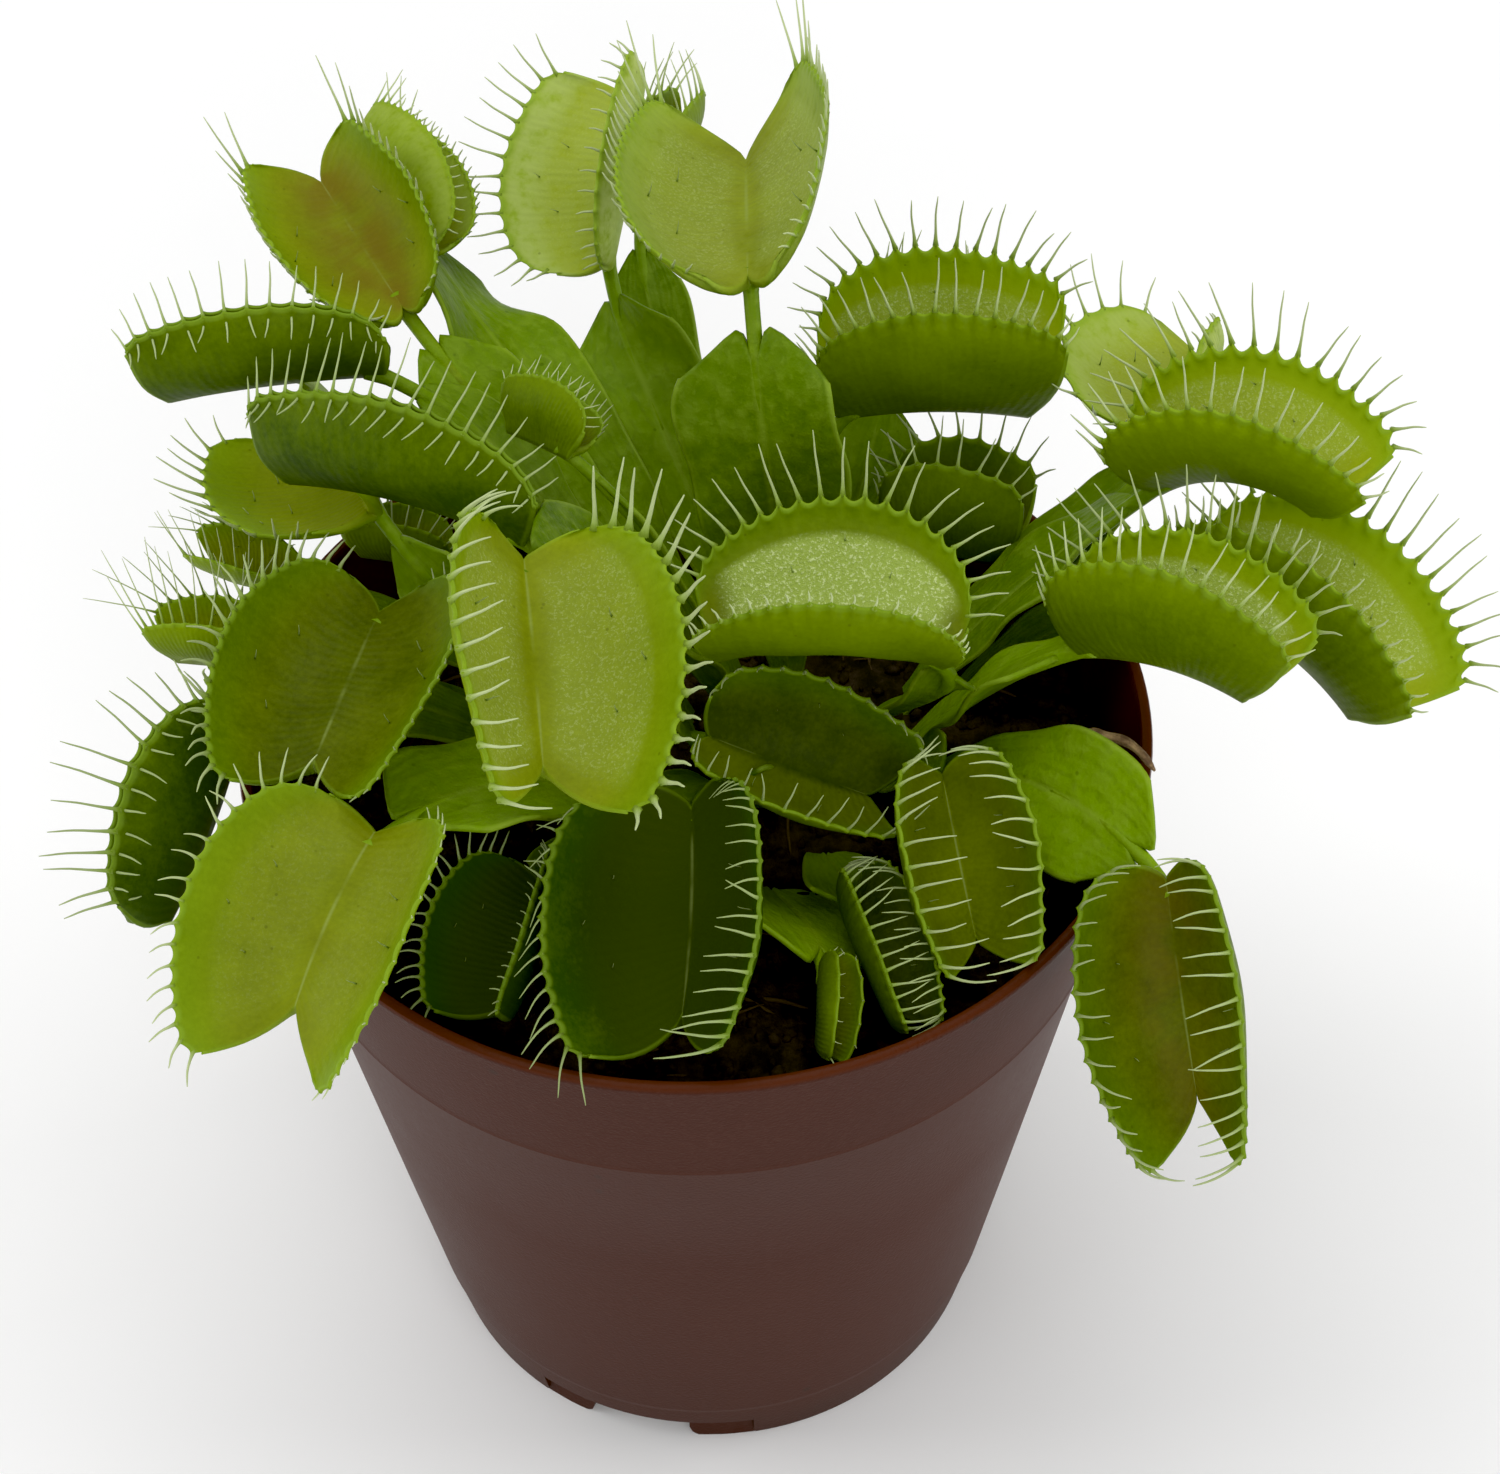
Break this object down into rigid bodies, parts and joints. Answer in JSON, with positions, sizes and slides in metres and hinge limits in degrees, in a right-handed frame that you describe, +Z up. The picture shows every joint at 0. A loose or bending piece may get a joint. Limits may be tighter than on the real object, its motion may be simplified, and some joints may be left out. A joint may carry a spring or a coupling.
{
  "type": "potted venus flytrap",
  "caption": "Bushy carnivorous house plant with toothed, hinged leaf traps on winged stalks, growing in peat in a round tapered nursery pot.",
  "frame": {"origin": "middle of the pot's flat base, on the surface that it stands on", "axes": "+Z up along the pot's axis, -Y towards the viewer of the picture, +X to that viewer's right"},
  "size_m": [0.1378, 0.1347, 0.1377],
  "materials": {
    "pot": "matte, slightly dusty brown",
    "soil": "rough moist peat",
    "leaf": "satin green leaf",
    "dry": "dry brown stalk"
  },
  "bodies": {
    "root": {"pot": "pot", "soil": "soil", "dry_stalk": "dry", "leaf_01": "leaf", "leaf_02": "leaf", "leaf_03": "leaf", "leaf_04": "leaf", "leaf_05": "leaf", "leaf_06": "leaf", "leaf_07": "leaf", "leaf_08": "leaf", "leaf_09": "leaf", "leaf_10": "leaf", "leaf_11": "leaf", "leaf_12": "leaf", "leaf_13": "leaf", "leaf_14": "leaf", "leaf_15": "leaf", "leaf_16": "leaf", "leaf_17": "leaf", "leaf_18": "leaf", "leaf_19": "leaf", "leaf_20": "leaf", "leaf_21": "leaf", "leaf_22": "leaf", "leaf_23": "leaf", "leaf_24": "leaf", "leaf_25": "leaf", "leaf_26": "leaf", "leaf_27": "leaf", "leaf_28": "leaf", "leaf_29": "leaf", "leaf_30": "leaf", "leaf_31": "leaf"}
  },
  "joints": []
}
